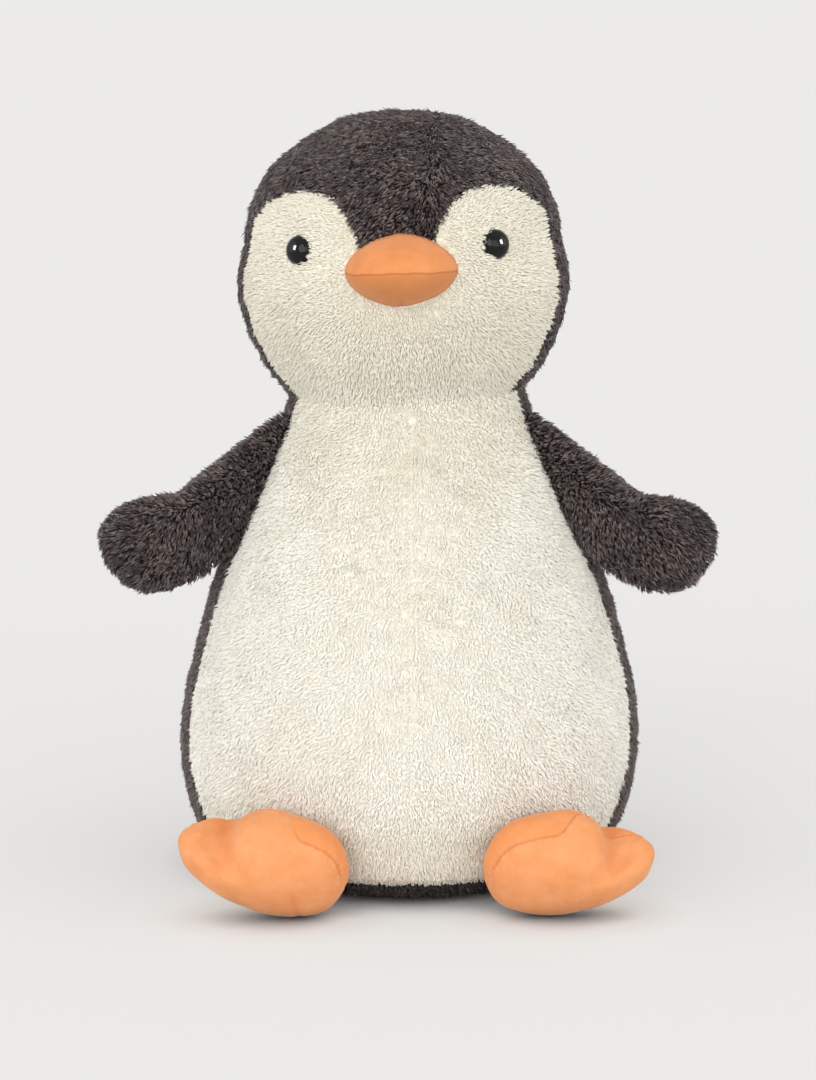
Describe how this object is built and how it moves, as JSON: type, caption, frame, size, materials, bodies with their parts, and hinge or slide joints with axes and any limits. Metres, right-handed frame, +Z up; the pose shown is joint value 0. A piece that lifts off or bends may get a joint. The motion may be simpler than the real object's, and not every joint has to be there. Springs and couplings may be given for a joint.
{
  "type": "plush penguin",
  "caption": "Large sitting plush penguin with a charcoal back and hood, cream face and belly, an orange suede beak and feet, swinging flippers and a nodding head.",
  "frame": {"origin": "middle of the flat base that the toy sits on", "axes": "+Z up, -Y the way the toy faces, +X the toy's own left"},
  "size_m": [0.546, 0.4345, 0.674],
  "materials": {
    "charcoal_plush": "matte",
    "cream_plush": "matte",
    "orange_suede": "matte",
    "fibrefill": "matte",
    "pouch_cloth": "matte",
    "label_ribbon": "satin",
    "eye_plastic": "gloss",
    "washer_plastic": "satin"
  },
  "bodies": {
    "torso": {"belly_panel_left": "cream_plush", "belly_panel_right": "cream_plush", "back_panel_left": "charcoal_plush", "back_panel_right": "charcoal_plush", "base_panel": "charcoal_plush", "torso_stuffing": "fibrefill", "bean_pouch": "pouch_cloth", "care_label": "label_ribbon"},
    "head": {"face_panel_left": "cream_plush", "face_panel_right": "cream_plush", "hood_left": "charcoal_plush", "hood_right": "charcoal_plush", "head_stuffing": "fibrefill", "beak_upper": "orange_suede", "beak_lower": "orange_suede", "beak_stuffing": "fibrefill", "eye_left": "eye_plastic", "eye_right": "eye_plastic", "eye_washer_left": "washer_plastic", "eye_washer_right": "washer_plastic"},
    "flipper_left": {"flipper_left_front": "charcoal_plush", "flipper_left_back": "charcoal_plush", "flipper_left_stuffing": "fibrefill"},
    "flipper_right": {"flipper_right_front": "charcoal_plush", "flipper_right_back": "charcoal_plush", "flipper_right_stuffing": "fibrefill"},
    "foot_left": {"foot_left_sole": "orange_suede", "foot_left_upper": "orange_suede", "foot_left_stuffing": "fibrefill"},
    "foot_right": {"foot_right_sole": "orange_suede", "foot_right_upper": "orange_suede", "foot_right_stuffing": "fibrefill"}
  },
  "joints": [
    {"name": "head_nod", "type": "hinge", "parent": "torso", "child": "head", "pos_m": [0, 0, 0.426], "axis": [1, 0, 0], "range_deg": [-10, 10], "stiffness_Nm_per_rad": 6},
    {"name": "flipper_left_swing", "type": "hinge", "parent": "torso", "child": "flipper_left", "pos_m": [0.13524, -0.04267, 0.34414], "axis": [0.3687, -0.143, -0.9185], "range_deg": [-25, 40], "stiffness_Nm_per_rad": 0.4},
    {"name": "flipper_right_swing", "type": "hinge", "parent": "torso", "child": "flipper_right", "pos_m": [-0.13524, -0.04267, 0.34414], "axis": [0.3687, 0.143, 0.9185], "range_deg": [-25, 40], "stiffness_Nm_per_rad": 0.4},
    {"name": "foot_left_flex", "type": "hinge", "parent": "torso", "child": "foot_left", "pos_m": [0.0904, -0.1825, 0.0449], "axis": [0.9903, 0.1392, 0], "range_deg": [0, 10], "stiffness_Nm_per_rad": 1},
    {"name": "foot_right_flex", "type": "hinge", "parent": "torso", "child": "foot_right", "pos_m": [-0.0806, -0.1873, 0.045], "axis": [0.9903, -0.1392, 0], "range_deg": [0, 10], "stiffness_Nm_per_rad": 1}
  ]
}
